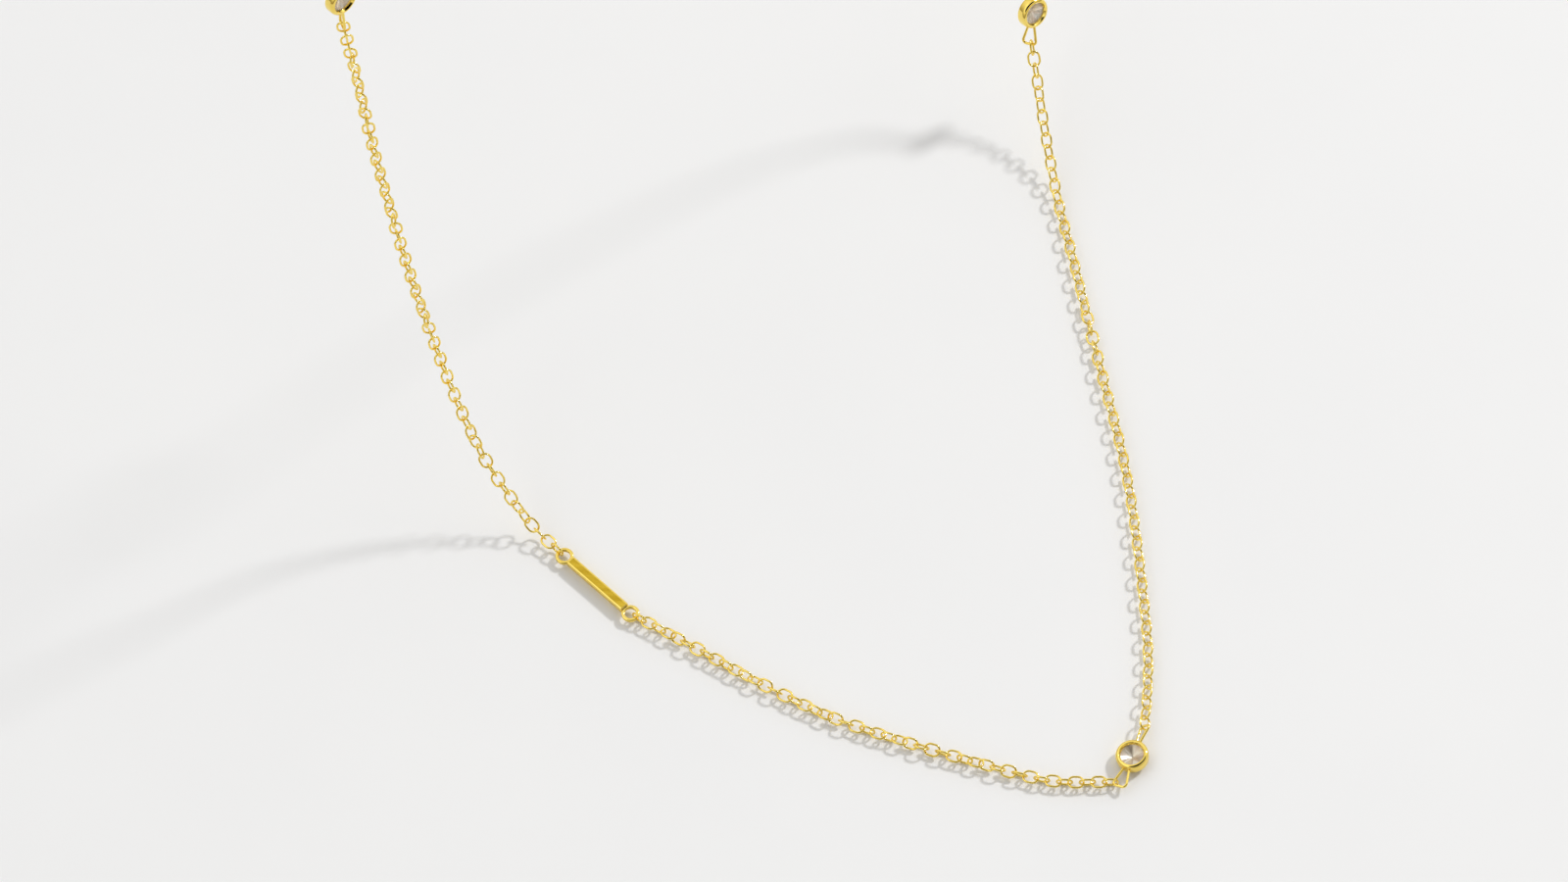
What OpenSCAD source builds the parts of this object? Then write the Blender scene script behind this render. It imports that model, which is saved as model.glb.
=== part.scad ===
// Fine gold cable-chain necklace with three bezel-set stones and one plain flat bar.
// The front lies along a level surface and both sides rise to the back of the neck.
// The origin is the highest point of the chain, where the necklace hangs on a neck.

/* [Chain] */
// Outer length of one chain link
link_l = 2.23; // [2.22:0.01:2.27]
// Outer width of one chain link
link_w = 1.74; // [1.7:0.02:1.8]
// Thickness of the wire that the links are bent from
wire_d = 0.28; // [0.22:0.01:0.28]
// Number of links between the left stone and the bar
left_links = 66; // [66:2:68]
// Number of links between the bar and the front stone
front_links = 46; // [46:2:48]
// Number of links between the front stone and the right stone
right_links = 65; // [65:2:67]
// Number of links between the left stone and the clasp
back_left_links = 53; // [51:2:53]

/* [Bezels] */
// Outer diameter of a bezel cup
cup_d = 4.2; // [4.1:0.05:4.3]
// Height of a bezel cup from its back to the top of its lip
cup_h = 1.4; // [1.35:0.05:1.6]
// Width of the small bell-shaped loops soldered to a cup
loop_w = 2.1; // [2:0.05:2.2]
// Distance that a loop stands out from its cup
loop_l = 2.6; // [2.5:0.05:2.7]
// Thickness of the wire of the loops
loop_wire_d = 0.36; // [0.3:0.01:0.36]

/* [Stones] */
// Diameter of a stone at its girdle
stone_d = 3.1; // [3:0.05:3.2]
// Width of a stone's flat table
table_d = 1.7; // [1.5:0.05:1.8]

/* [Bar] */
// Length of the flat bar without its rings
bar_l = 9.8; // [9.4:0.1:10.2]
// Width of the flat bar
bar_w = 1.35; // [1.2:0.05:1.5]
// Thickness of the flat bar
bar_t = 0.9; // [0.8:0.05:1]
// Outer diameter of the ring soldered to each end of the bar
ring_d = 2.35; // [2.25:0.05:2.4]
// Diameter of the hole in each end ring
ring_hole_d = 1.45; // [1.4:0.05:1.5]

/* [Clasp] */
// Outer diameter of the round clasp
clasp_d = 5.6; // [5:0.1:6]
// Thickness of the clasp's round body
clasp_wire_d = 1; // [0.9:0.05:1.1]

/* [Hidden] */

// Free space between a hooked link and the ring or loop that it hooks
gap = 0.23;
// Height of the chain's middle above the surface that the front lies on
chain_z = 0.92;

// Places are measured from beside the foot of the front bezel, with the surface at height 0.
// The highest point of the chain, which becomes the origin
neck_at = [-82, 70.5, 107];
bar_at = [-67.55, 23.75];
bar_heading = 135.6;
// A station: the middle of a piece's back, the heading and climb of the chain that runs through
// it, the turn of its face about that run, and the turns of the loops before and after it
function station(at, heading, climb, turn, loop_turns) =
    let (t = level_unit(heading, climb)) [at, t, face_dir(t, turn), loop_turns];
front_station = station([0.1, -0.95, 0.5], 67, 3, 8, [-8, -45]);
left_station = station([-97.5, 53.95, 93.3], 90, 76, -44, [66, 66]);
right_station = station([-11.9, 101.7, 14], 80, 56, -47, [-60, -60]);
clasp_station = station([-46, 99.5, 81.5], -36, -45, 0, [0, 0]);

// Route of the chain from the bar up to the left stone
left_route = [[-75.7, 31.55, 1.85], [-78.8, 34.4, 5.1], [-82.3, 37.9, 10], [-85.3, 41.6, 17.1],
              [-87.6, 44.4, 25], [-89.8, 46.1, 36], [-91.5, 47.8, 45.2], [-92.8, 49.1, 53.6],
              [-94.1, 50.4, 62.5], [-95.1, 51.4, 71.5], [-96.1, 52.4, 80.5]];
// Route of the chain from the bar to the front stone
front_route = [[-56, 15.2, chain_z], [-47.4, 9.9, chain_z], [-37.6, 4.6, chain_z], [-28, 1, chain_z],
               [-19.1, -1.9, chain_z], [-10.5, -4.3, chain_z]];
// Route of the chain from the front stone to the right stone
right_route = [[2.1, 8.7, chain_z], [2.25, 15, chain_z], [1.7, 23.5, chain_z], [0.7, 34.5, chain_z],
               [-0.6, 43.5, chain_z], [-2.7, 53.7, chain_z], [-4.6, 63, chain_z],
               [-6.5, 72.6, chain_z], [-8, 79.7, 0.95], [-9.1, 85.6, 2.3], [-10.2, 91.4, 5.1],
               [-11, 95.9, 8.2]];
// Route of the chain from the left stone over the back of the neck to the clasp
back_left_route = [[-96.4, 57.3, 102.2], [-91.2, 63.2, 106.2], [-82, 70.5, 107], [-71, 80, 103.5],
                   [-59, 89.5, 94.5]];
// Route of the chain from the clasp down to the right stone
back_right_route = [[-34, 106.8, 65.5], [-25, 111, 50.5], [-17, 112.3, 36.5], [-12.5, 109, 25]];

// Roll of the links along each stretch: share of the length, roll in degrees
left_roll = [[0, 90], [0.02, 82], [0.09, 0], [0.14, -12], [0.21, -85], [0.35, -100], [0.43, -180],
             [0.56, -192], [0.63, -262], [0.76, -280], [0.83, -338], [1, -348]];
front_roll = [[0, 90], [0.06, 80], [0.16, 0], [0.24, -15], [0.35, -90], [0.42, -105], [0.5, -180],
              [0.56, -190], [0.7, -275], [0.74, -290], [0.83, -350], [1, -360]];
right_roll = [[0, 40], [0.06, 46], [0.45, 45], [0.55, 55], [0.63, 128], [0.72, 138], [0.92, 138],
              [0.965, 106], [1, 68]];
back_left_roll = [[0, 200], [0.3, 220], [1, 270]];

// Facets on a turned surface
$fn = 48;

module placed() translate(-neck_at) children();

function unit(v) = v / norm(v);
function level_unit(heading, climb) =
    [cos(heading) * cos(climb), sin(heading) * cos(climb), sin(climb)];
// Upward direction square to a direction of travel
function up_from(t) = unit([0, 0, 1] - t[2] * t);
// Direction that a face looks in, turned about the travel
function face_dir(t, turn) = cos(turn) * up_from(t) + sin(turn) * cross(up_from(t), t);
// Matrix that turns the x, y and z axes to the given directions and moves them to a place
function pose(x, y, z, at) = [[x[0], y[0], z[0], at[0]], [x[1], y[1], z[1], at[1]],
                              [x[2], y[2], z[2], at[2]], [0, 0, 0, 1]];

// Point on a smooth curve between b and c, at the share t of the way
function curve_point(a, b, c, d, t) =
    0.5 * (2 * b + (c - a) * t + (2 * a - 5 * b + 4 * c - d) * t * t + (3 * b - a - 3 * c + d) * t * t * t);
curve_steps = 24;
// Points on the smooth curve through a route
function curve(p) = let (last = len(p) - 1)
    [for (i = [0 : last - 1], k = [0 : curve_steps - 1])
        curve_point(i > 0 ? p[i - 1] : 2 * p[0] - p[1], p[i], p[i + 1],
                    i < last - 1 ? p[i + 2] : 2 * p[last] - p[last - 1], k / curve_steps),
     p[last]];
// Length run along a list of points, at each point
function run_lengths(q, i = 0, sum = 0) =
    i == len(q) - 1 ? [sum] : concat([sum], run_lengths(q, i + 1, sum + norm(q[i + 1] - q[i])));
// Tables that give x, y and z by the length run along the curve
function tables(q, run) = [for (axis = [0 : 2]) [for (i = [0 : len(q) - 1]) [run[i], q[i][axis]]]];
function place_on(tab, s) = [for (axis = [0 : 2]) lookup(s, tab[axis])];
tangent_step = 0.2;
function travel_on(tab, s, total) =
    unit(place_on(tab, min(s + tangent_step, total)) - place_on(tab, max(s - tangent_step, 0)));

// Where the middle of an end link lies when it hooks the ring at hub and leads towards the point toward
function hook_on(hub, toward, hole_r) = hub + (hole_r - gap + link_l / 2 - wire_d) * unit(toward - hub);
// A whole stretch: its route with an end link hooked to a ring at each end
function stretch(hub_a, hole_a, route, hub_b, hole_b) =
    concat([hook_on(hub_a, route[0], hole_a)], route, [hook_on(hub_b, route[len(route) - 1], hole_b)]);

// Corners of a bezel's loop: radius to the middle of the wire, and places across and along
corner_r = 0.46;
corner_y = (loop_w - loop_wire_d) / 2 - corner_r;
corner_x = cup_d / 2 + loop_l - loop_wire_d / 2 - corner_r;
loop_hole_r = corner_r - loop_wire_d / 2;
loop_z = cup_h / 2;
ring_sunk = 0.15;
// How far the middle of a bar ring lies below the middle of the bar
ring_drop = 0.1;
ring_reach = (bar_l + ring_d) / 2 - ring_sunk;
clasp_loop_r = 0.65;
clasp_loop_wire_d = 0.4;
clasp_loop_sunk = 0.15;
clasp_loop_reach = clasp_d / 2 + clasp_loop_r - clasp_loop_wire_d / 2 - clasp_loop_sunk;
clasp_hole_r = clasp_loop_r - clasp_loop_wire_d / 2;

// Where the chain hooks a bezel's loop, on side -1 or 1 of the cup, shifted across the loop by a
// share of the way to its corner
function loop_hub(st, side, share) = let (turn = st[3][side > 0 ? 1 : 0])
    st[0] + side * corner_x * st[1] + loop_z * st[2]
    + share * corner_y * (cos(turn) * cross(st[2], st[1]) + sin(turn) * st[2]);
// The rising left chain hooks a ring at its middle, the front chain at its own height
function bar_hub(side) = [bar_at[0], bar_at[1], side > 0 ? chain_z - ring_drop : chain_z]
    + side * ring_reach * level_unit(bar_heading, 0);
function clasp_hub(side) = clasp_station[0] + side * clasp_loop_reach * clasp_station[1];

left_path = stretch(bar_hub(1), ring_hole_d / 2, left_route,
                    loop_hub(left_station, -1, 0), loop_hole_r);
front_path = stretch(bar_hub(-1), ring_hole_d / 2, front_route,
                     loop_hub(front_station, -1, 1), loop_hole_r);
right_path = stretch(loop_hub(front_station, 1, 0), loop_hole_r, right_route,
                     loop_hub(right_station, -1, -0.5), loop_hole_r);
back_left_path = stretch(loop_hub(left_station, 1, 0), loop_hole_r, back_left_route,
                         clasp_hub(-1), clasp_hole_r);
back_right_path = stretch(clasp_hub(1), clasp_hole_r, back_right_route,
                          loop_hub(right_station, 1, 0), loop_hole_r);

// Part of a round wire ring about the z axis
module wire_arc(middle_r, wire, from, sweep)
    rotate([0, 0, from]) rotate_extrude(angle = sweep) translate([middle_r, 0]) circle(d = wire);

// Straight wire from the origin in a direction in the plane z = 0
module wire_run(heading, length, wire) rotate([0, 90, heading]) cylinder(d = wire, h = length);

// Oval link lying flat, with its length along x
module oval_link(length, width, wire) {
    straight = length - width;
    middle_r = (width - wire) / 2;
    for (side = [-1, 1]) {
        translate([side * straight / 2, 0, 0]) wire_arc(middle_r, wire, -90 * side, 180);
        translate([-straight / 2, side * middle_r, 0]) wire_run(0, straight, wire);
    }
}

// Interlocking links along a path, each a quarter turn on from the last, with a slow roll
module links(path, count, roll) {
    q = curve(path);
    run = run_lengths(q);
    tab = tables(q, run);
    total = run[len(run) - 1];
    for (i = [0 : count - 1]) {
        s = total * i / (count - 1);
        t = travel_on(tab, s, total);
        up = up_from(t);
        side = cross(up, t);
        turn = lookup(i / (count - 1), roll) + 90 * (i % 2);
        width_dir = cos(turn) * side + sin(turn) * up;
        multmatrix(pose(t, width_dir, cross(t, width_dir), place_on(tab, s)))
            oval_link(link_l, link_w, wire_d);
    }
}

tube_sides = 8;
tube_d = link_w;
// Length of tube between two of its rings
tube_ring_step = 4.2;
// Plain round tube along a path, standing for links too many to count
module tube(path) {
    q = curve(path);
    run = run_lengths(q);
    tab = tables(q, run);
    total = run[len(run) - 1];
    rings = ceil(total / tube_ring_step);
    points = [for (i = [0 : rings], k = [0 : tube_sides - 1])
        let (s = total * i / rings, t = travel_on(tab, s, total), up = up_from(t), side = cross(up, t),
             a = 360 * k / tube_sides)
        place_on(tab, s) + tube_d / 2 * (cos(a) * side + sin(a) * up)];
    walls = [for (i = [0 : rings - 1], k = [0 : tube_sides - 1], half = [0, 1])
        let (a = i * tube_sides + k, b = i * tube_sides + (k + 1) % tube_sides)
        half == 0 ? [a, b, b + tube_sides] : [a, b + tube_sides, a + tube_sides]];
    first_cap = [for (k = [tube_sides - 1 : -1 : 0]) k];
    last_cap = [for (k = [0 : tube_sides - 1]) rings * tube_sides + k];
    polyhedron(points, concat(walls, [first_cap, last_cap]));
}

girdle_t = 0.08;
crown_h = 0.36;
pavilion_h = 0.7;
// Rounding of the cup's rim, and the height where it starts
lip_r = 0.45;
lip_z = cup_h - lip_r;
// The rim slopes down on its inner side to a thin edge that reaches in over the stone
lip_reach = 0.1;
lip_edge_z = cup_h - 0.32;
lip_edge_t = 0.05;
// Free space round the stone, and how far the foot of its girdle lies below the rim
seat_gap = 0.05;
stone_drop = 0.56;
seat_z = cup_h - stone_drop;
cup_hole_r = 0.8;

// Half section of the bezel cup, open at the back, with its rim folded in over the stone's edge
module cup_section() {
    r = cup_d / 2;
    seat_r = stone_d / 2 + seat_gap;
    edge_r = stone_d / 2 - lip_reach;
    polygon([[cup_hole_r, 0], [r - 0.25, 0], [r - 0.08, 0.08], [r, 0.25], [r, lip_z],
             [r - lip_r, lip_z], [r - lip_r, cup_h], [edge_r, lip_edge_z],
             [edge_r, lip_edge_z - lip_edge_t], [seat_r, lip_edge_z - lip_edge_t],
             [seat_r, seat_z - seat_gap], [cup_hole_r, 0.15]]);
    translate([r - lip_r, lip_z]) difference() {
        circle(r = lip_r);
        translate([-2 * lip_r, -2 * lip_r]) square([4 * lip_r, 2 * lip_r]);
        translate([-2 * lip_r, -lip_r]) square([2 * lip_r, 3 * lip_r]);
    }
}

// Angle that a loop's legs close in by, and how far they run into the cup's wall
leg_slope = 13;
leg_sunk = 0.15;
// The straight wire is drawn down a little and runs into the bends by this much
drawn_d = loop_wire_d - 0.02;
bend_sunk = 0.04;
// Bell-shaped wire loop in the plane z = 0, standing out along x from the cup's wall
module bell_loop() {
    leg_l = (corner_x - corner_r * sin(leg_slope) - cup_d / 2 + leg_sunk) / cos(leg_slope);
    far_l = 2 * corner_y + 2 * bend_sunk;
    translate([corner_x + corner_r, -far_l / 2, 0]) wire_run(90, far_l, drawn_d);
    for (side = [-1, 1]) translate([corner_x, side * corner_y, 0]) {
        wire_arc(corner_r, loop_wire_d, side > 0 ? 0 : -90 - leg_slope, 90 + leg_slope);
        translate([-corner_r * sin(leg_slope), side * corner_r * cos(leg_slope), 0])
            rotate([0, 0, 180 + side * leg_slope]) translate([-bend_sunk, 0, 0])
                wire_run(0, leg_l + bend_sunk, drawn_d);
    }
}

// Bezel cup with its two soldered loops, back on the plane z = 0, chain along x
module bezel(loop_turns) {
    rotate_extrude() cup_section();
    for (side = [0, 1]) translate([0, 0, loop_z]) mirror([side, 0, 0])
        rotate([loop_turns[1 - side], 0, 0]) bell_loop();
}

// Corners of a ring of the stone's facets, first one turned on by a share of a step
function ring_points(count, r, z, shift) =
    [for (k = [0 : count - 1]) let (a = 360 * (k + shift) / count) [r * cos(a), r * sin(a), z]];

// Round brilliant stone: table, crown, girdle and pavilion in flat facets
module stone() {
    girdle_r = stone_d / 2;
    star_r = girdle_r * 0.76;
    low_r = girdle_r * 0.24;
    // Heights at which the long crown and pavilion facets lie flat
    star_z = seat_z + girdle_t
        + crown_h * (girdle_r - star_r * cos(22.5)) / (girdle_r - table_d / 2);
    low_z = seat_z - pavilion_h * (1 - low_r * cos(22.5) / girdle_r);
    points = concat(ring_points(8, table_d / 2, seat_z + girdle_t + crown_h, 0),
                    ring_points(8, star_r, star_z, 0.5),
                    ring_points(16, girdle_r, seat_z + girdle_t, 0),
                    ring_points(16, girdle_r, seat_z, 0),
                    ring_points(8, low_r, low_z, 0.5),
                    [[0, 0, seat_z - pavilion_h]]);
    // Number of the first corner of each ring below the table's
    star = 8;
    top = 16;
    bottom = 32;
    low = 48;
    culet = 56;
    faces = concat(
        [[for (k = [7 : -1 : 0]) k]],
        [for (k = [0 : 7]) [k, (k + 1) % 8, star + k]],
        [for (k = [0 : 7]) [k, star + k, top + 2 * k]],
        [for (k = [0 : 7]) [k, top + 2 * k, star + (k + 7) % 8]],
        [for (k = [0 : 7]) [star + k, top + 2 * k + 1, top + 2 * k]],
        [for (k = [0 : 7]) [star + k, top + (2 * k + 2) % 16, top + 2 * k + 1]],
        [for (k = [0 : 15]) [top + k, top + (k + 1) % 16, bottom + (k + 1) % 16, bottom + k]],
        [for (k = [0 : 7]) [low + k, bottom + 2 * k, bottom + 2 * k + 1]],
        [for (k = [0 : 7]) [low + k, bottom + 2 * k + 1, bottom + (2 * k + 2) % 16]],
        [for (k = [0 : 7]) [bottom + 2 * k, low + k, culet]],
        [for (k = [0 : 7]) [bottom + 2 * k, culet, low + (k + 7) % 8]]);
    polyhedron(points, faces);
}

// Carries a piece to its station, with the chain's travel along x and the face along z
module at_station(st) multmatrix(pose(st[1], cross(st[2], st[1]), st[2], st[0])) children();

bar_edge = 0.26;
ring_t = 0.5;
ring_edge = 0.12;
// Outline with cut corners, centred at the origin
module cut_corners(w, h, edge)
    polygon([[-w / 2 + edge, -h / 2], [w / 2 - edge, -h / 2], [w / 2, -h / 2 + edge],
             [w / 2, h / 2 - edge], [w / 2 - edge, h / 2], [-w / 2 + edge, h / 2],
             [-w / 2, h / 2 - edge], [-w / 2, -h / 2 + edge]]);

// Flat bar along x with softened edges and a short tube of a ring soldered to each end
module bar_solid() {
    ring_wall = (ring_d - ring_hole_d) / 2;
    rotate([90, 0, 90]) translate([0, 0, -bar_l / 2]) linear_extrude(bar_l)
        cut_corners(bar_w, bar_t, bar_edge);
    for (side = [-1, 1]) translate([side * ring_reach, 0, -ring_drop]) rotate_extrude()
        translate([(ring_hole_d + ring_wall) / 2, 0]) cut_corners(ring_wall, ring_t, ring_edge);
}

// Plain round clasp with a small loop soldered to each side
module clasp_solid() {
    rotate([0, 0, 90]) rotate_extrude()
        translate([(clasp_d - clasp_wire_d) / 2, 0]) rotate(180) circle(d = clasp_wire_d);
    for (turn = [0, 180]) rotate([0, 0, turn]) translate([clasp_loop_reach, 0, 0])
        rotate_extrude() translate([clasp_loop_r, 0]) circle(d = clasp_loop_wire_d);
}

module bar() color("goldenrod") placed()
    translate([bar_at[0], bar_at[1], chain_z]) rotate([0, 0, bar_heading]) bar_solid();
module bezel_left() color("gold") placed() at_station(left_station) bezel(left_station[3]);
module bezel_front() color("gold") placed() at_station(front_station) bezel(front_station[3]);
module bezel_right() color("gold") placed() at_station(right_station) bezel(right_station[3]);
module stone_left() color("white") placed() at_station(left_station) stone();
module stone_front() color("white") placed() at_station(front_station) stone();
module stone_right() color("white") placed() at_station(right_station) stone();
module chain_left() color("gold") placed() links(left_path, left_links, left_roll);
module chain_front() color("gold") placed() links(front_path, front_links, front_roll);
module chain_right() color("gold") placed() links(right_path, right_links, right_roll);
module chain_back_left() color("gold") placed() links(back_left_path, back_left_links, back_left_roll);
module chain_back_right() color("gold") placed() tube(back_right_path);
module clasp() color("gold") placed() at_station(clasp_station) clasp_solid();

bar();
bezel_left();
bezel_front();
bezel_right();
stone_left();
stone_front();
stone_right();
chain_left();
chain_front();
chain_right();
chain_back_left();
chain_back_right();
clasp();
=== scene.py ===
import math

import bpy
import numpy as np
from mathutils import Matrix, Vector

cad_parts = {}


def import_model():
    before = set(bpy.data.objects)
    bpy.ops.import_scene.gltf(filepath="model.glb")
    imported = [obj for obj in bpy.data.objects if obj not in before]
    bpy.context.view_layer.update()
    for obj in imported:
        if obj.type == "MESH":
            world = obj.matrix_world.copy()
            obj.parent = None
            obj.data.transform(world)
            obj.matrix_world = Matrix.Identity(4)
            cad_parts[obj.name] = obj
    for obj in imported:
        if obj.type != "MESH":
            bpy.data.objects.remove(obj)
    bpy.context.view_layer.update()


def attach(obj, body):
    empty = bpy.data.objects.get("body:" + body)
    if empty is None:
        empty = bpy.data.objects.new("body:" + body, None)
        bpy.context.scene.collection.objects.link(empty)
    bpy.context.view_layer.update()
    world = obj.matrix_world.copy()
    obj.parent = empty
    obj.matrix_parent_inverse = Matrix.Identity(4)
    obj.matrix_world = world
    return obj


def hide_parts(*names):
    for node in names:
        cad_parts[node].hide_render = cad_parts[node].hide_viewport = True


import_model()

MM = 0.001
# Places are in millimetres from beside the foot of the front bezel, surface at height 0.
ORIGIN = np.array([-82.0, 70.5, 107.0])

LINK_L, LINK_W, WIRE_D = 2.23, 1.74, 0.28
CUP_D, CUP_H = 4.2, 1.4
LOOP_W, LOOP_L, LOOP_WIRE_D = 2.1, 2.6, 0.36
STONE_D, TABLE_D = 3.1, 1.7
BAR_L, BAR_W, BAR_T = 9.8, 1.35, 0.9
RING_D, RING_HOLE_D = 2.35, 1.45
RING_T, RING_DROP = 0.5, 0.1
CLASP_D, CLASP_WIRE_D = 5.6, 1.0
# Free space along the chain between an end link's wire and the edge of the hole it hooks through
GAP = 0.23
# Height of the chain's middle line where it lies on the surface
CHAIN_Z = 0.92
LEFT_LINKS, FRONT_LINKS, RIGHT_LINKS, BACK_LEFT_LINKS = 66, 46, 65, 53
# Shortest step from link to link in the back right chain, which sets its number of links
BACK_PITCH = 1.53
BAR_AT = np.array([-67.55, 23.75, CHAIN_Z])
BAR_HEADING = 135.6


def unit(v):
    v = np.asarray(v, float)
    return v / np.linalg.norm(v)


def cosd(a):
    return math.cos(math.radians(a))


def sind(a):
    return math.sin(math.radians(a))


def level_unit(heading, climb):
    return np.array([cosd(heading) * cosd(climb), sind(heading) * cosd(climb), sind(climb)])


def up_from(t):
    return unit(np.array([0.0, 0.0, 1.0]) - t[2] * t)


def station(at, heading, climb, turn, loop_turns):
    t = level_unit(heading, climb)
    up = up_from(t)
    face = cosd(turn) * up + sind(turn) * np.cross(up, t)
    return np.array(at, float), t, face, loop_turns


FRONT = station((0.1, -0.95, 0.5), 67, 3, 8, (-8, -45))
LEFT = station((-97.5, 53.95, 93.3), 90, 76, -44, (66, 66))
RIGHT = station((-11.9, 101.7, 14), 80, 56, -47, (-60, -60))
CLASP = station((-46, 99.5, 81.5), -36, -45, 0, (0, 0))

LEFT_ROUTE = [(-75.7, 31.55, 1.85), (-78.8, 34.4, 5.1), (-82.3, 37.9, 10), (-85.3, 41.6, 17.1),
              (-87.6, 44.4, 25), (-89.8, 46.1, 36), (-91.5, 47.8, 45.2), (-92.8, 49.1, 53.6),
              (-94.1, 50.4, 62.5), (-95.1, 51.4, 71.5), (-96.1, 52.4, 80.5)]
FRONT_ROUTE = [(-56, 15.2, CHAIN_Z), (-47.4, 9.9, CHAIN_Z), (-37.6, 4.6, CHAIN_Z), (-28, 1, CHAIN_Z),
               (-19.1, -1.9, CHAIN_Z), (-10.5, -4.3, CHAIN_Z)]
RIGHT_ROUTE = [(2.1, 8.7, CHAIN_Z), (2.25, 15, CHAIN_Z), (1.7, 23.5, CHAIN_Z), (0.7, 34.5, CHAIN_Z),
               (-0.6, 43.5, CHAIN_Z), (-2.7, 53.7, CHAIN_Z), (-4.6, 63, CHAIN_Z), (-6.5, 72.6, CHAIN_Z),
               (-8, 79.7, 0.95), (-9.1, 85.6, 2.3), (-10.2, 91.4, 5.1), (-11, 95.9, 8.2)]
BACK_LEFT_ROUTE = [(-96.4, 57.3, 102.2), (-91.2, 63.2, 106.2), (-82, 70.5, 107), (-71, 80, 103.5),
                   (-59, 89.5, 94.5)]
BACK_RIGHT_ROUTE = [(-34, 106.8, 65.5), (-25, 111, 50.5), (-17, 112.3, 36.5), (-12.5, 109, 25)]

# Turn of the links about the chain in degrees, by share of the way along it
LEFT_ROLL = [(0, 90), (0.02, 82), (0.09, 0), (0.14, -12), (0.21, -85), (0.35, -100), (0.43, -180),
             (0.56, -192), (0.63, -262), (0.76, -280), (0.83, -338), (1, -348)]
FRONT_ROLL = [(0, 90), (0.06, 80), (0.16, 0), (0.24, -15), (0.35, -90), (0.42, -105), (0.5, -180),
              (0.56, -190), (0.7, -275), (0.74, -290), (0.83, -350), (1, -360)]
RIGHT_ROLL = [(0, 40), (0.06, 46), (0.45, 45), (0.55, 55), (0.63, 128), (0.72, 138), (0.92, 138),
              (0.965, 106), (1, 68)]
BACK_LEFT_ROLL = [(0, 200), (0.3, 220), (1, 270)]
BACK_RIGHT_ROLL = [(0, 90), (1, 130)]


# Materials

def new_material(name):
    m = bpy.data.materials.new(name)
    m.use_nodes = True
    nt = m.node_tree
    return m, nt, nt.nodes["Principled BSDF"]


def node(nt, kind, **inputs):
    n = nt.nodes.new(kind)
    for k, v in inputs.items():
        n.inputs[k].default_value = v
    return n


def ramp(nt, src, stops):
    r = nt.nodes.new("ShaderNodeValToRGB")
    els = r.color_ramp.elements
    while len(els) < len(stops):
        els.new(0.5)
    for e, (pos, col) in zip(els, stops):
        e.position = pos
        e.color = (*col, 1)
    nt.links.new(src, r.inputs["Fac"])
    return r


def gold_material(name, pale, deep, rough_low, rough_high, bump, brushed=False):
    """Plated gold with a faint drift of colour and fine wear; a brushed one is streaked along the bar."""
    m, nt, b = new_material(name)
    coords = node(nt, "ShaderNodeTexCoord")
    along = node(nt, "ShaderNodeMapping")
    if brushed:
        along.inputs["Rotation"].default_value = (0, 0, math.radians(-BAR_HEADING))
        along.inputs["Scale"].default_value = (0.16, 1.0, 1.0)
    nt.links.new(coords.outputs["Object"], along.inputs["Vector"])
    drift = node(nt, "ShaderNodeTexNoise", Scale=900.0 if brushed else 420.0, Detail=3.0)
    nt.links.new(along.outputs["Vector"], drift.inputs["Vector"])
    colour = ramp(nt, drift.outputs["Fac"], [(0.35, deep), (0.65, pale)])
    nt.links.new(colour.outputs["Color"], b.inputs["Base Color"])
    wear = node(nt, "ShaderNodeTexNoise", Scale=2600.0, Detail=4.0, Roughness=0.6)
    nt.links.new(along.outputs["Vector"], wear.inputs["Vector"])
    rough = node(nt, "ShaderNodeMapRange")
    rough.inputs["From Min"].default_value = 0.35
    rough.inputs["From Max"].default_value = 0.7
    rough.inputs["To Min"].default_value = rough_low
    rough.inputs["To Max"].default_value = rough_high
    nt.links.new(wear.outputs["Fac"], rough.inputs["Value"])
    nt.links.new(rough.outputs["Result"], b.inputs["Roughness"])
    relief = node(nt, "ShaderNodeBump")
    relief.inputs["Strength"].default_value = bump
    relief.inputs["Distance"].default_value = 0.000006
    nt.links.new(wear.outputs["Fac"], relief.inputs["Height"])
    nt.links.new(relief.outputs["Normal"], b.inputs["Normal"])
    b.inputs["Metallic"].default_value = 1.0
    return m


GOLD = gold_material("gold_polished", (0.98, 0.76, 0.2), (0.92, 0.68, 0.14), 0.04, 0.1, 0.12)
# The bar's top is brushed satin, and its darker colour is painted shade that stands in for the dim
# reflection on the level top face.
SATIN_PAINTED_SHADE = gold_material("gold_satin_painted_shade", (0.76, 0.52, 0.05), (0.58, 0.38, 0.026), 0.2, 0.32, 0.35, brushed=True)


def stone_material():
    m, nt, b = new_material("stone_clear")
    coords = node(nt, "ShaderNodeTexCoord")
    tint = node(nt, "ShaderNodeTexNoise", Scale=900.0, Detail=2.0)
    nt.links.new(coords.outputs["Object"], tint.inputs["Vector"])
    colour = ramp(nt, tint.outputs["Fac"], [(0.4, (0.99, 0.975, 0.96)), (0.6, (1.0, 1.0, 0.99))])
    nt.links.new(colour.outputs["Color"], b.inputs["Base Color"])
    b.inputs["Roughness"].default_value = 0.0
    b.inputs["IOR"].default_value = 1.3
    b.inputs["Transmission Weight"].default_value = 1.0
    b.inputs["Alpha"].default_value = 0.55
    return m


def foil_material(name, deep, pale, metallic):
    """Bright backing of a pavilion facet, which keeps the stone pale under its glass; its tone is one of
    several bright and dim ones that paint in the stone's sparkle as painted glints and painted dark
    reflections.
    """
    m, nt, b = new_material(name)
    coords = node(nt, "ShaderNodeTexCoord")
    patch = node(nt, "ShaderNodeTexNoise", Scale=1500.0, Detail=3.0)
    nt.links.new(coords.outputs["Object"], patch.inputs["Vector"])
    colour = ramp(nt, patch.outputs["Fac"], [(0.35, deep), (0.65, pale)])
    nt.links.new(colour.outputs["Color"], b.inputs["Base Color"])
    b.inputs["Metallic"].default_value = metallic
    b.inputs["Roughness"].default_value = 0.2
    return m


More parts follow.
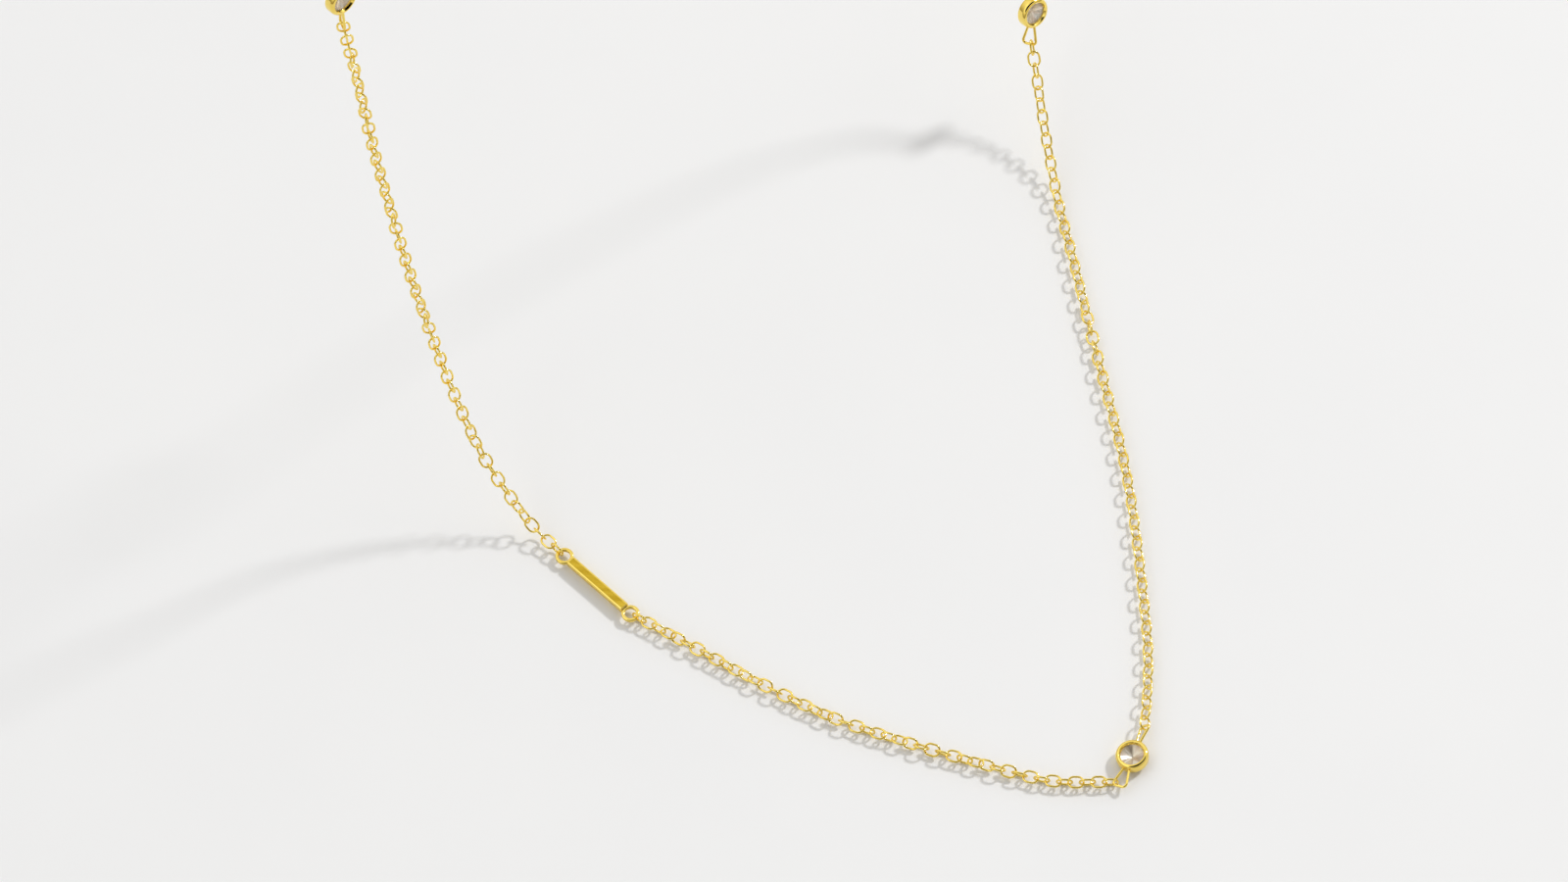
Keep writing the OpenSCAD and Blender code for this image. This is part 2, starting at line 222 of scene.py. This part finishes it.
STONE = stone_material()
# Four foil tones: painted glints in the pale, warm and rose ones and a painted dark reflection in the grey
# one, standing in for the stone's sparkle.
PAINTED_SPARKLE_FOILS = [foil_material("foil_pale_painted_glint", (1.0, 0.95, 0.86), (1.0, 0.98, 0.93), 0.25),
         foil_material("foil_warm_painted_glint", (1.0, 0.87, 0.68), (1.0, 0.93, 0.78), 0.5),
         foil_material("foil_grey_painted_dark_reflection", (0.76, 0.62, 0.5), (0.85, 0.73, 0.6), 0.4),
         foil_material("foil_rose_painted_glint", (0.95, 0.8, 0.68), (1.0, 0.89, 0.78), 0.7)]


# Mesh helpers

def make_piece(name, verts, faces, materials, replaced, smooth=True, index=None, sharp=35.0):
    mesh = bpy.data.meshes.new(name)
    mesh.from_pydata([tuple(v) for v in (np.asarray(verts) - ORIGIN) * MM], [], [tuple(f) for f in faces])
    for m in materials:
        mesh.materials.append(m)
    if index is not None:
        mesh.polygons.foreach_set("material_index", index)
    mesh.polygons.foreach_set("use_smooth", [smooth] * len(mesh.polygons))
    mesh.validate()
    mesh.update()
    if smooth and sharp:
        mesh.set_sharp_from_angle(angle=math.radians(sharp))
    ob = bpy.data.objects.new(name, mesh)
    bpy.context.scene.collection.objects.link(ob)
    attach(ob, "root")
    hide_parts(*replaced)
    return ob


def tube(centres, radials, normal, radius, sides, closed):
    """Round wire along centres; radials point out of the curve in its plane, normal square to the plane."""
    n = len(centres)
    a = 2 * np.pi * np.arange(sides) / sides
    ring = radius * (np.cos(a)[None, :, None] * radials[:, None, :] + np.sin(a)[None, :, None] * normal)
    verts = (centres[:, None, :] + ring).reshape(-1, 3)
    faces = []
    for i in range(n if closed else n - 1):
        j = (i + 1) % n
        for k in range(sides):
            l = (k + 1) % sides
            faces.append((i * sides + k, i * sides + l, j * sides + l, j * sides + k))
    if not closed:
        faces.append(tuple(range(sides - 1, -1, -1)))
        faces.append(tuple((n - 1) * sides + k for k in range(sides)))
    return verts, faces


def merge(parts):
    verts, faces, at = [], [], 0
    for v, f in parts:
        verts.append(v)
        faces += [tuple(i + at for i in q) for q in f]
        at += len(v)
    return np.vstack(verts), faces


def oval_outline(length, width, wire, arc=12, run=2):
    """Middle line of an oval link in its plane, with the outward direction at each point."""
    r = (width - wire) / 2
    half = (length - width) / 2
    pts, out = [], []
    for sx in (1, -1):
        for k in range(arc + 1):
            a = -math.pi / 2 + math.pi * k / arc + (0 if sx > 0 else math.pi)
            pts.append((sx * half + r * math.cos(a), r * math.sin(a)))
            out.append((math.cos(a), math.sin(a)))
        for k in range(1, run):
            pts.append((sx * half * (1 - 2 * k / run), r * sx))
            out.append((0, sx))
    return np.array(pts), np.array(out)


# Chain

def curve(route, steps=24):
    p = [np.array(x, float) for x in route]
    last = len(p) - 1
    out = []
    for i in range(last):
        a = p[i - 1] if i > 0 else 2 * p[0] - p[1]
        b, c = p[i], p[i + 1]
        d = p[i + 2] if i < last - 1 else 2 * p[last] - p[last - 1]
        for k in range(steps):
            t = k / steps
            out.append(0.5 * (2 * b + (c - a) * t + (2 * a - 5 * b + 4 * c - d) * t * t
                              + (3 * b - a - 3 * c + d) * t ** 3))
    out.append(p[last])
    return np.array(out)


class Run:
    """A curve that is read by the length run along it."""

    def __init__(self, route):
        self.q = curve(route)
        self.run = np.concatenate([[0], np.cumsum(np.linalg.norm(np.diff(self.q, axis=0), axis=1))])
        self.total = self.run[-1]

    def at(self, s):
        return np.array([np.interp(s, self.run, self.q[:, k]) for k in range(3)])

    def travel(self, s):
        return unit(self.at(min(s + 0.2, self.total)) - self.at(max(s - 0.2, 0)))


CORNER_R = 0.46
CORNER_Y = (LOOP_W - LOOP_WIRE_D) / 2 - CORNER_R
CORNER_X = CUP_D / 2 + LOOP_L - LOOP_WIRE_D / 2 - CORNER_R
LOOP_HOLE_R = CORNER_R - LOOP_WIRE_D / 2
# How far a ring, a clasp loop and a leg of a cup's loop are sunk into what carries them
SUNK = 0.15
RING_REACH = (BAR_L + RING_D) / 2 - SUNK
CLASP_LOOP_R, CLASP_LOOP_WIRE = 0.65, 0.4
CLASP_REACH = CLASP_D / 2 + CLASP_LOOP_R - CLASP_LOOP_WIRE / 2 - SUNK
CLASP_HOLE_R = CLASP_LOOP_R - CLASP_LOOP_WIRE / 2


def loop_hub(st, side, share):
    at, t, face, turns = st
    turn = turns[side > 0]
    across = cosd(turn) * np.cross(face, t) + sind(turn) * face
    return at + side * CORNER_X * t + CUP_H / 2 * face + share * CORNER_Y * across


def bar_hub(side):
    drop = np.array([0, 0, RING_DROP if side > 0 else 0])
    return BAR_AT - drop + side * RING_REACH * level_unit(BAR_HEADING, 0)


def clasp_hub(side):
    return CLASP[0] + side * CLASP_REACH * CLASP[1]


def hook_on(hub, toward, hole_r):
    return hub + (hole_r - GAP + LINK_L / 2 - WIRE_D) * unit(np.asarray(toward, float) - hub)


def stretch(hub_a, hole_a, route, hub_b, hole_b):
    return Run([hook_on(hub_a, route[0], hole_a), *route, hook_on(hub_b, route[-1], hole_b)])


LINK_LINE, LINK_OUT = oval_outline(LINK_L, LINK_W, WIRE_D)


def chain(name, run, count, roll, replaced):
    parts = []
    for i in range(count):
        share = i / (count - 1)
        s = run.total * share
        t = run.travel(s)
        up = up_from(t)
        side = np.cross(up, t)
        a = np.interp(share, [r[0] for r in roll], [r[1] for r in roll]) + 90 * (i % 2)
        across = cosd(a) * side + sind(a) * up
        normal = np.cross(t, across)
        at = run.at(s)
        centres = at + LINK_LINE[:, :1] * t + LINK_LINE[:, 1:] * across
        radials = LINK_OUT[:, :1] * t + LINK_OUT[:, 1:] * across
        parts.append(tube(centres, radials, normal, WIRE_D / 2, 10, True))
    verts, faces = merge(parts)
    return make_piece(name, verts, faces, [GOLD], replaced, sharp=None)


left_run = stretch(bar_hub(1), RING_HOLE_D / 2, LEFT_ROUTE, loop_hub(LEFT, -1, 0), LOOP_HOLE_R)
front_run = stretch(bar_hub(-1), RING_HOLE_D / 2, FRONT_ROUTE, loop_hub(FRONT, -1, 1), LOOP_HOLE_R)
right_run = stretch(loop_hub(FRONT, 1, 0), LOOP_HOLE_R, RIGHT_ROUTE, loop_hub(RIGHT, -1, -0.5), LOOP_HOLE_R)
back_left_run = stretch(loop_hub(LEFT, 1, 0), LOOP_HOLE_R, BACK_LEFT_ROUTE, clasp_hub(-1), CLASP_HOLE_R)
back_right_run = stretch(clasp_hub(1), CLASP_HOLE_R, BACK_RIGHT_ROUTE, loop_hub(RIGHT, 1, 0), LOOP_HOLE_R)

chain("links_left", left_run, LEFT_LINKS, LEFT_ROLL, ["chain_left"])
chain("links_front", front_run, FRONT_LINKS, FRONT_ROLL, ["chain_front"])
chain("links_right", right_run, RIGHT_LINKS, RIGHT_ROLL, ["chain_right"])
chain("links_back_left", back_left_run, BACK_LEFT_LINKS, BACK_LEFT_ROLL, ["chain_back_left"])
back_right_links = int(back_right_run.total / BACK_PITCH) + 1
chain("links_back_right", back_right_run, back_right_links, BACK_RIGHT_ROLL, ["chain_back_right"])


# Bezels and stones

def lathe(profile, steps):
    """Closed profile of (radius, height) turned about z."""
    a = 2 * np.pi * np.arange(steps) / steps
    p = np.array(profile)
    verts = np.stack([np.outer(np.cos(a), p[:, 0]), np.outer(np.sin(a), p[:, 0]),
                      np.tile(p[:, 1], (steps, 1))], axis=2).reshape(-1, 3)
    m = len(p)
    faces = [(i * m + k, ((i + 1) % steps) * m + k, ((i + 1) % steps) * m + (k + 1) % m, i * m + (k + 1) % m)
             for i in range(steps) for k in range(m)]
    return verts, faces


def arc_points(cx, cy, r, a0, a1, n):
    turns = [a0 + (a1 - a0) * k / n for k in range(n + 1)]
    return [(cx + r * cosd(a), cy + r * sind(a)) for a in turns]


LIP_R = 0.45
LIP_Z = CUP_H - LIP_R
LIP_EDGE_Z = CUP_H - 0.32
LIP_EDGE_T = 0.05
LIP_REACH = 0.1
SEAT_GAP = 0.05
CUP_HOLE_R = 0.8
FOOT_R = 0.22
RIM_R = 0.06
GIRDLE_T, CROWN_H, PAVILION_H = 0.08, 0.36, 0.7
STONE_DROP = 0.56
SEAT_Z = CUP_H - STONE_DROP


def cup_profile():
    """Half section of a cup: open foot, round outer rim, slope in to a thin edge, and the seat."""
    r = CUP_D / 2
    seat_r = STONE_D / 2 + SEAT_GAP
    edge_r = STONE_D / 2 - LIP_REACH
    under = LIP_EDGE_Z - LIP_EDGE_T
    worn = 0.03
    p = [(CUP_HOLE_R, worn), (CUP_HOLE_R + worn, 0.0), (r - FOOT_R - worn, 0)]
    p += arc_points(r - FOOT_R, FOOT_R, FOOT_R, -85, 0, 6)
    p += arc_points(r - LIP_R, LIP_Z, LIP_R, 0, 88, 18)
    p += arc_points(r - LIP_R, CUP_H - RIM_R, RIM_R, 92, 148, 5)
    p += [(edge_r + 0.02, LIP_EDGE_Z + 0.065), (edge_r, LIP_EDGE_Z + worn), (edge_r, under)]
    p += [(seat_r, under)]
    p += [(seat_r, SEAT_Z - SEAT_GAP), (CUP_HOLE_R + worn, 0.17), (CUP_HOLE_R, 0.14)]
    return p


LEG_SLOPE = 13


def bell_outline():
    """Middle line of a bezel's loop from one leg round to the other, with outward directions."""
    leg = (CORNER_X - CORNER_R * sind(LEG_SLOPE) - CUP_D / 2 + SUNK) / cosd(LEG_SLOPE)
    pts, out = [], []
    start = (CORNER_X - CORNER_R * sind(LEG_SLOPE), CORNER_Y + CORNER_R * cosd(LEG_SLOPE))
    leg_steps, bend_steps = 6, 10
    for k in range(leg_steps):
        d = leg * (1 - k / leg_steps)
        pts.append((start[0] - d * cosd(LEG_SLOPE), start[1] - d * sind(LEG_SLOPE)))
        out.append((-sind(LEG_SLOPE), cosd(LEG_SLOPE)))
    for k in range(bend_steps + 1):
        a = (90 + LEG_SLOPE) * (1 - k / bend_steps)
        pts.append((CORNER_X + CORNER_R * cosd(a), CORNER_Y + CORNER_R * sind(a)))
        out.append((cosd(a), sind(a)))
    half_p = pts + [(CORNER_X + CORNER_R, 0.0)]
    half_o = out + [(1.0, 0.0)]
    back_p = [(x, -y) for x, y in reversed(pts)]
    back_o = [(x, -y) for x, y in reversed(out)]
    return np.array(half_p + back_p), np.array(half_o + back_o)


def axes_of(st):
    at, t, face, _ = st
    return at, t, np.cross(face, t), face


def carry(verts, st):
    at, x, y, z = axes_of(st)
    return at + verts[:, :1] * x + verts[:, 1:2] * y + verts[:, 2:] * z


BELL_LINE, BELL_OUT = bell_outline()


def bell_loop(side, turn):
    """Loop on one side of a cup, in the cup's own axes."""
    x = np.array([side, 0.0, 0.0])
    y = np.array([0.0, cosd(turn), sind(turn)])
    z = np.array([0.0, -sind(turn), cosd(turn)])
    centres = BELL_LINE[:, :1] * x + BELL_LINE[:, 1:] * y + np.array([0, 0, CUP_H / 2])
    radials = BELL_OUT[:, :1] * x + BELL_OUT[:, 1:] * y
    v, f = tube(centres, radials, z, LOOP_WIRE_D / 2, 14, False)
    if side < 0:
        f = [tuple(reversed(q)) for q in f]
    return v, f


def bezel(name, st, replaced):
    verts, faces = merge([lathe(cup_profile(), 96), bell_loop(1, st[3][1]), bell_loop(-1, st[3][0])])
    return make_piece(name, carry(verts, st), faces, [GOLD], replaced)


bezel("cup_left", LEFT, ["bezel_left"])
bezel("cup_front", FRONT, ["bezel_front"])
bezel("cup_right", RIGHT, ["bezel_right"])


def stone(name, st, spin, replaced):
    """Round brilliant: table, stars, kites, upper girdle facets, girdle, and a foiled pavilion whose facets
    are painted in random bright and dim tones as painted sparkle.
    """
    g = STONE_D / 2
    seat, girdle, crown, pavilion = SEAT_Z, GIRDLE_T, CROWN_H, PAVILION_H
    star_r, low_r = g * 0.76, g * 0.24
    star_z = seat + girdle + crown * (g - star_r * cosd(22.5)) / (g - TABLE_D / 2)
    low_z = seat - pavilion * (1 - low_r * cosd(22.5) / g)

    def ring(n, r, z, shift):
        turns = [360 * (k + shift) / n + spin for k in range(n)]
        return [(r * cosd(a), r * sind(a), z) for a in turns]

    pts = (ring(8, TABLE_D / 2, seat + girdle + crown, 0) + ring(8, star_r, star_z, 0.5)
           + ring(16, g, seat + girdle, 0) + ring(16, g, seat, 0) + ring(8, low_r, low_z, 0.5)
           + [(0, 0, seat - pavilion)])
    star, top, bottom, low, culet = 8, 16, 32, 48, 56
    crown_faces = [tuple(range(8))]
    pavilion_faces = []
    for k in range(8):
        crown_faces += [(k, star + k, (k + 1) % 8), (k, star + (k + 7) % 8, top + 2 * k, star + k),
                        (star + k, top + 2 * k, top + 2 * k + 1),
                        (star + k, top + 2 * k + 1, top + (2 * k + 2) % 16)]
        pavilion_faces += [(low + k, bottom + 2 * k + 1, bottom + 2 * k),
                           (low + k, bottom + (2 * k + 2) % 16, bottom + 2 * k + 1),
                           (culet, low + k, bottom + 2 * k, low + (k + 7) % 8)]
    for k in range(16):
        crown_faces.append((top + (k + 1) % 16, top + k, bottom + k, bottom + (k + 1) % 16))
    faces = crown_faces + pavilion_faces
    # Each pavilion facet takes one of the foils at random, so the facets show painted sparkle as light and
    # dark tones.
    sparkle_tones = np.random.default_rng(spin).integers(1, len(PAINTED_SPARKLE_FOILS) + 1, len(pavilion_faces))
    index = [0] * len(crown_faces) + [int(k) for k in sparkle_tones]
    return make_piece(name, carry(np.array(pts), st), faces, [STONE, *PAINTED_SPARKLE_FOILS], replaced, smooth=False,
                      index=index)


stone("gem_left", LEFT, 8, ["stone_left"])
stone("gem_front", FRONT, 20, ["stone_front"])
stone("gem_right", RIGHT, 31, ["stone_right"])


# Bar

def rounded_section(w, h, r, n):
    p = []
    for cx, cy, a0 in ((w / 2 - r, h / 2 - r, 0), (-w / 2 + r, h / 2 - r, 90),
                       (-w / 2 + r, -h / 2 + r, 180), (w / 2 - r, -h / 2 + r, 270)):
        p += arc_points(cx, cy, r, a0, a0 + 90, n)
    return p


BAR_EDGE = 0.26
BAR_END_R = 0.16
RING_EDGE = 0.14


def bar_piece():
    """Bar with rounded edges and ends, brushed satin on top whose colour is darkened as painted shade, and a
    ring at each end.
    """
    n = 6
    turns = [(BAR_END_R * (1 - sind(a)), BAR_END_R * (1 - cosd(a))) for a in (90, 72, 54, 36, 18, 0)]
    stations = [(-BAR_L / 2 + x, inset) for x, inset in turns]
    stations += [(BAR_L / 2 - x, inset) for x, inset in reversed(turns)]
    verts = []
    for x, inset in stations:
        for y, z in rounded_section(BAR_W - 2 * inset, BAR_T - 2 * inset, BAR_EDGE - inset, n):
            verts.append((x, y, z))
    m = 4 * (n + 1)
    faces = [(i * m + k, i * m + (k + 1) % m, (i + 1) * m + (k + 1) % m, (i + 1) * m + k)
             for i in range(len(stations) - 1) for k in range(m)]
    faces = [tuple(reversed(f)) for f in faces]
    faces.append(tuple(range(m)))
    faces.append(tuple((len(stations) - 1) * m + k for k in range(m - 1, -1, -1)))
    parts = [(np.array(verts), faces)]
    body = len(faces)
    wall = (RING_D - RING_HOLE_D) / 2
    mid = (RING_D + RING_HOLE_D) / 4
    section = [(mid + x, z) for x, z in rounded_section(wall, RING_T, RING_EDGE, n)]
    for side in (-1, 1):
        v, f = lathe(section, 72)
        parts.append((v + np.array([side * RING_REACH, 0, -RING_DROP]), f))
    verts, faces = merge(parts)
    index = [0] * len(faces)
    # Level top faces take the satin gold, whose darker colour is painted shade.
    for i in range(body):
        z = np.array([verts[k][2] for k in faces[i]])
        if len(faces[i]) == 4 and z.min() > BAR_T / 2 - 1e-6:
            index[i] = 1
    t = level_unit(BAR_HEADING, 0)
    st = (BAR_AT, t, np.array([0, 0, 1.0]), 0)
    return make_piece("flat_bar", carry(verts, st), faces, [GOLD, SATIN_PAINTED_SHADE], ["bar"],
                      index=index, sharp=40)


bar = bar_piece()
bar.modifiers.new("even_shading", "WEIGHTED_NORMAL").keep_sharp = True


# Clasp

def wire_ring(cx, middle_r, wire, steps, sides):
    a = 2 * np.pi * np.arange(steps) / steps
    radials = np.stack([np.cos(a), np.sin(a), 0 * a], axis=1)
    centres = radials * middle_r + np.array([cx, 0, 0])
    return tube(centres, radials, np.array([0, 0, 1.0]), wire / 2, sides, True)


def clasp_piece():
    parts = [wire_ring(0, (CLASP_D - CLASP_WIRE_D) / 2, CLASP_WIRE_D, 64, 20)]
    parts += [wire_ring(side * CLASP_REACH, CLASP_LOOP_R, CLASP_LOOP_WIRE, 32, 12) for side in (-1, 1)]
    verts, faces = merge(parts)
    return make_piece("clasp_ring", carry(verts, CLASP), faces, [GOLD], ["clasp"], sharp=None)


clasp_piece()


# Stage, light and camera

def floor_material():
    m, nt, b = new_material("paper_floor")
    coords = node(nt, "ShaderNodeTexCoord")
    mottle = node(nt, "ShaderNodeTexNoise", Scale=35.0, Detail=3.0)
    nt.links.new(coords.outputs["Object"], mottle.inputs["Vector"])
    colour = ramp(nt, mottle.outputs["Fac"], [(0.3, (0.875, 0.875, 0.88)), (0.7, (0.885, 0.885, 0.888))])
    nt.links.new(colour.outputs["Color"], b.inputs["Base Color"])
    b.inputs["Roughness"].default_value = 0.8
    return m


def stage_floor():
    mesh = bpy.data.meshes.new("floor")
    s, z = 4.0, -ORIGIN[2] * MM - 0.00001
    mesh.from_pydata([(-s, -s, z), (s, -s, z), (s, s, z), (-s, s, z)], [], [(0, 1, 2, 3)])
    mesh.materials.append(floor_material())
    ob = bpy.data.objects.new("floor", mesh)
    bpy.context.scene.collection.objects.link(ob)


def world():
    """Pale tent, dimmer low down, with a dark patch round the camera that reaches over to the right."""
    w = bpy.data.worlds.new("studio")
    w.use_nodes = True
    nt = w.node_tree
    coords = node(nt, "ShaderNodeTexCoord")

    def toward(direction):
        dot = node(nt, "ShaderNodeVectorMath")
        dot.operation = "DOT_PRODUCT"
        dot.inputs[1].default_value = unit(direction)
        nt.links.new(coords.outputs["Generated"], dot.inputs[0])
        return dot.outputs["Value"]

    def patch(direction, edge, full, outside, inside):
        m = node(nt, "ShaderNodeMapRange")
        m.interpolation_type = "SMOOTHSTEP"
        m.inputs["From Min"].default_value = cosd(edge)
        m.inputs["From Max"].default_value = cosd(full)
        m.inputs["To Min"].default_value = outside
        m.inputs["To Max"].default_value = inside
        nt.links.new(toward(direction), m.inputs["Value"])
        return m.outputs["Result"]

    tent = ramp(nt, toward((0.0, 0.1, 1.0)), [(0.0, (0.34, 0.3, 0.23)), (0.22, (0.52, 0.49, 0.43)),
                                             (0.5, (0.98, 0.98, 0.97)), (0.8, (1.26, 1.26, 1.26))])
    # A little dimmer where level faces look, then the three overlapping parts of the dark patch
    light = patch((0.0, 0.49, 0.87), 34, 12, 1.05, 0.72)
    for direction, edge, full in (((0.05, -0.47, 0.87), 33, 22), ((0.27, -0.27, 0.92), 30, 18),
                                  ((0.5, -0.04, 0.87), 26, 14)):
        times = node(nt, "ShaderNodeMath")
        times.operation = "MULTIPLY"
        nt.links.new(light, times.inputs[0])
        nt.links.new(patch(direction, edge, full, 1.0, 0.03), times.inputs[1])
        light = times.outputs["Value"]
    nt.links.new(tent.outputs["Color"], nt.nodes["Background"].inputs["Color"])
    nt.links.new(light, nt.nodes["Background"].inputs["Strength"])
    bpy.context.scene.world = w


LIGHT_TARGET = (0.03, -0.04, -0.1)


def area_light(name, direction, distance, size, watts):
    light = bpy.data.lights.new(name, "AREA")
    light.shape = "DISK"
    light.size = size
    light.energy = watts
    ob = bpy.data.objects.new(name, light)
    d = unit(direction)
    at = Vector(LIGHT_TARGET) + Vector(d * distance)
    ob.matrix_world = Matrix.Translation(at) @ Vector(-d).to_track_quat("-Z", "Y").to_matrix().to_4x4()
    bpy.context.scene.collection.objects.link(ob)


stage_floor()
world()
area_light("key", (0.95, 0.79, 1.0), 3.2, 0.34, 46.5)


CAMERA_AT = np.array([-43.83, -545.66, 1044.43])
CAMERA_TILT = 29.5


def camera():
    """Looks down at the surface from the photo's angle, 60.5 degrees below level."""
    cam = bpy.data.cameras.new("camera")
    cam.lens = 214.6
    cam.sensor_width = 36
    cam.clip_start = 0.05
    ob = bpy.data.objects.new("camera", cam)
    at = (CAMERA_AT - ORIGIN) * MM
    ob.matrix_world = Matrix.Translation(Vector(at)) @ Matrix.Rotation(math.radians(CAMERA_TILT), 4, "X")
    bpy.context.scene.collection.objects.link(ob)
    bpy.context.scene.camera = ob


camera()
bpy.context.scene.view_settings.view_transform = "Standard"
bpy.context.scene.view_settings.look = "None"
